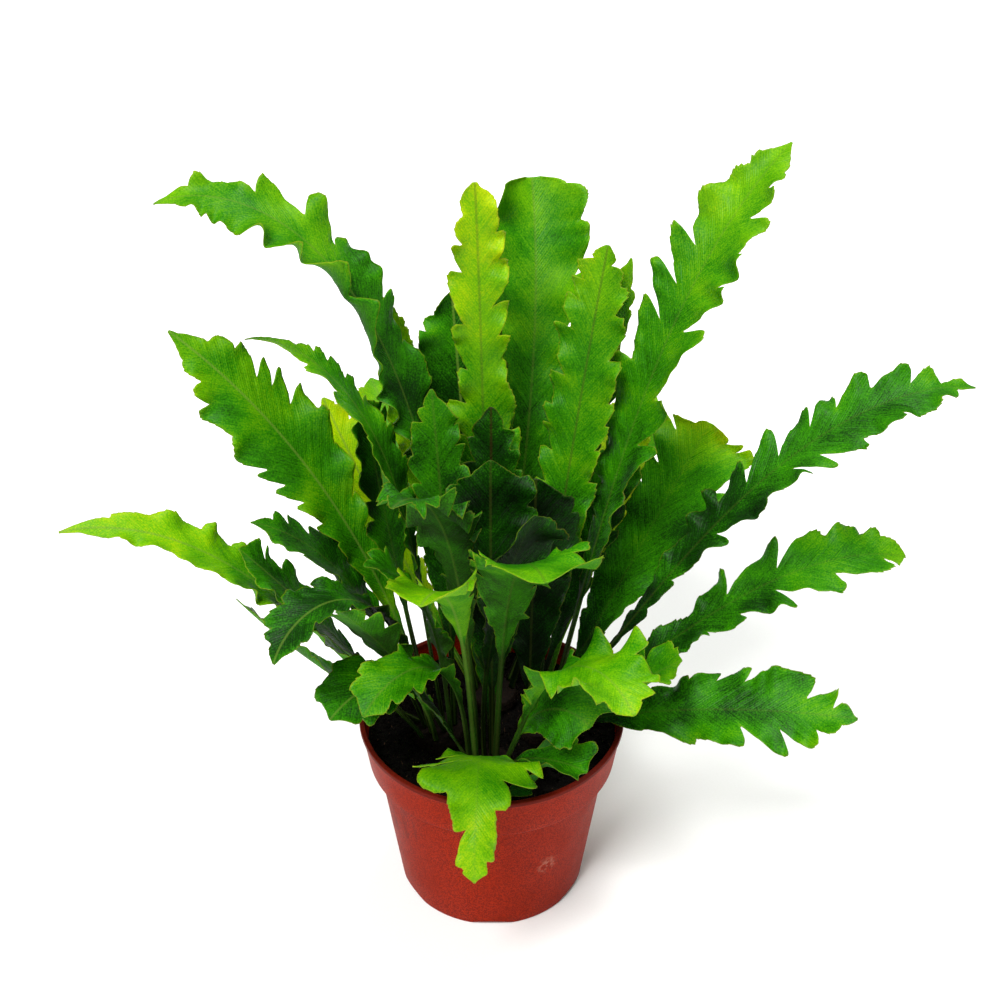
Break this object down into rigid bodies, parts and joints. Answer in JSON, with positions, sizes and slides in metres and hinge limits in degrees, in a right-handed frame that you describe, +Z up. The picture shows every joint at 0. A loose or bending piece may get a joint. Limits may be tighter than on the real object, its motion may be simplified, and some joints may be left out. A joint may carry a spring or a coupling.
{
  "type": "potted fern",
  "caption": "Fern with long wavy, lobed fronds arching from a clump of short crowns in a round plastic nursery pot.",
  "frame": {"origin": "middle of the pot's underside, on the surface it stands on", "axes": "+Z up along the pot's axis; -Y is the front, where one frond hangs over the rim; +X is to the right seen from the front"},
  "size_m": [0.3907, 0.2828, 0.3367],
  "materials": {
    "pot_plastic": "satin",
    "compost": "matte",
    "crown_scales": "matte",
    "frond_leaf": "satin",
    "seedling_leaf": "satin"
  },
  "bodies": {
    "root": {"pot": "pot_plastic", "potting_soil": "compost", "left_crown": "crown_scales", "left_frond_1": "frond_leaf", "left_frond_2": "frond_leaf", "left_frond_3": "frond_leaf", "left_frond_4": "frond_leaf", "left_frond_5": "frond_leaf", "left_frond_6": "frond_leaf", "left_frond_7": "frond_leaf", "left_frond_8": "frond_leaf", "left_frond_9": "frond_leaf", "left_frond_10": "frond_leaf", "left_frond_11": "frond_leaf", "left_frond_12": "frond_leaf", "back_crown": "crown_scales", "back_frond_1": "frond_leaf", "back_frond_2": "frond_leaf", "back_frond_3": "frond_leaf", "back_frond_4": "frond_leaf", "back_frond_5": "frond_leaf", "back_frond_6": "frond_leaf", "back_frond_7": "frond_leaf", "back_frond_8": "frond_leaf", "back_frond_9": "frond_leaf", "back_frond_10": "frond_leaf", "back_frond_11": "frond_leaf", "back_frond_12": "frond_leaf", "right_crown": "crown_scales", "right_frond_1": "frond_leaf", "right_frond_2": "frond_leaf", "right_frond_3": "frond_leaf", "right_frond_4": "frond_leaf", "right_frond_5": "frond_leaf", "right_frond_6": "frond_leaf", "right_frond_7": "frond_leaf", "right_frond_8": "frond_leaf", "right_frond_9": "frond_leaf", "right_frond_10": "frond_leaf", "front_crown": "crown_scales", "front_frond_1": "frond_leaf", "front_frond_2": "frond_leaf", "front_frond_3": "frond_leaf", "front_frond_4": "frond_leaf", "front_frond_5": "frond_leaf", "front_frond_6": "frond_leaf", "front_frond_7": "frond_leaf", "front_frond_8": "frond_leaf", "front_frond_9": "frond_leaf", "front_frond_10": "frond_leaf", "front_frond_11": "frond_leaf", "front_frond_12": "frond_leaf", "seedling_leaf_1": "seedling_leaf", "seedling_leaf_2": "seedling_leaf"}
  },
  "joints": []
}
